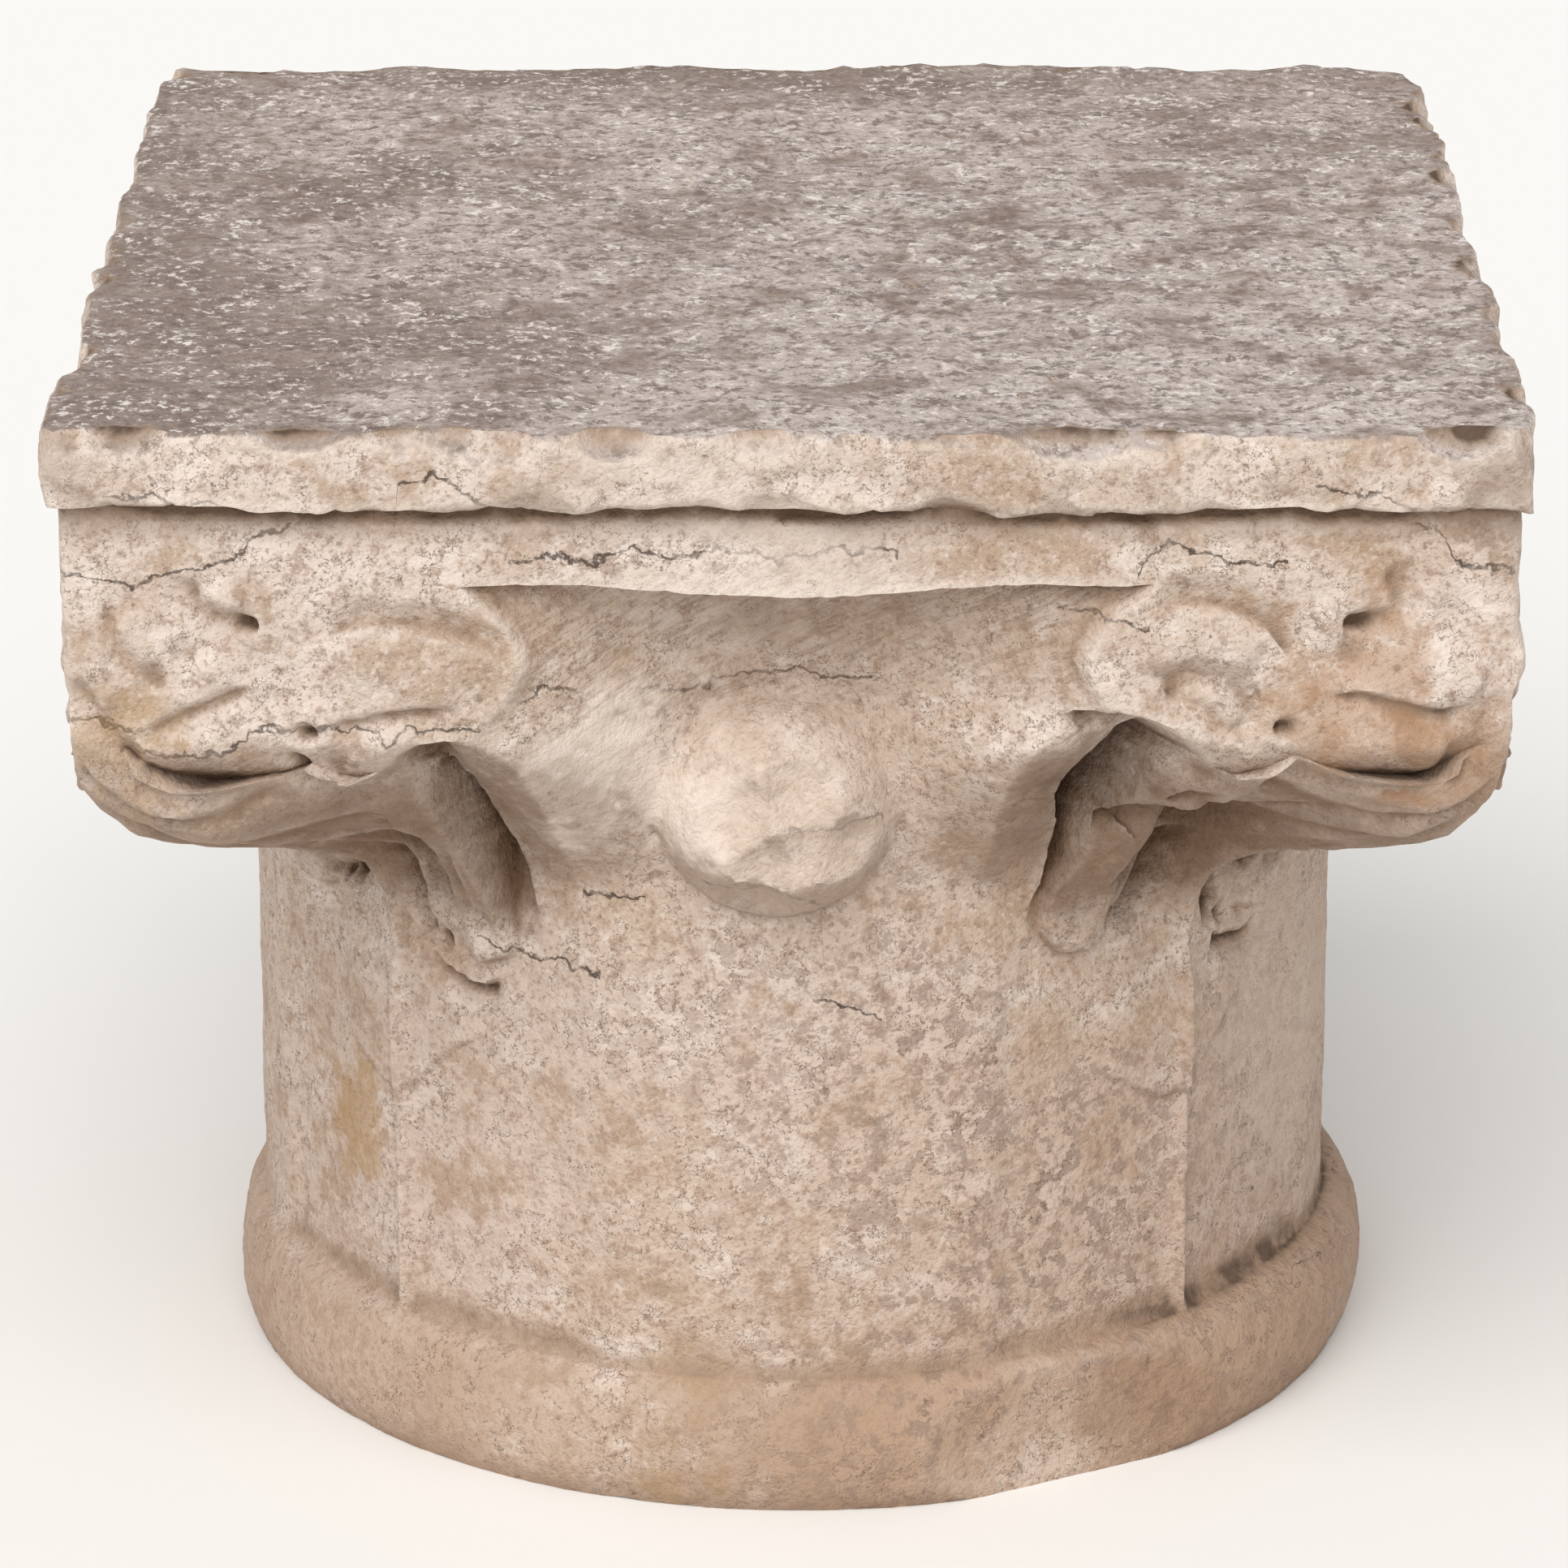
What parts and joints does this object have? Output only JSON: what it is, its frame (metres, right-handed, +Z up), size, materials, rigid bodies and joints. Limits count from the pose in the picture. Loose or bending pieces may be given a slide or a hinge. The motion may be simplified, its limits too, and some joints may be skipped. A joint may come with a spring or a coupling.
{
  "type": "carved marble column capital",
  "caption": "Square-topped column capital carved from one stone, with leaves under the corners, a ball on each side, a round drum and a foot ring.",
  "frame": {"origin": "centre of the abacus in plan, on the level of the foot ring's underside, where the capital stands on a shaft or a floor", "axes": "+Z up along the column's axis, towards the abacus; -Y out of the front side, with +X to the right seen from the front"},
  "size_m": [0.508, 0.508, 0.42],
  "materials": {
    "weathered_marble": "matte"
  },
  "bodies": {
    "root": {"marble_capital": "weathered_marble"}
  },
  "joints": []
}
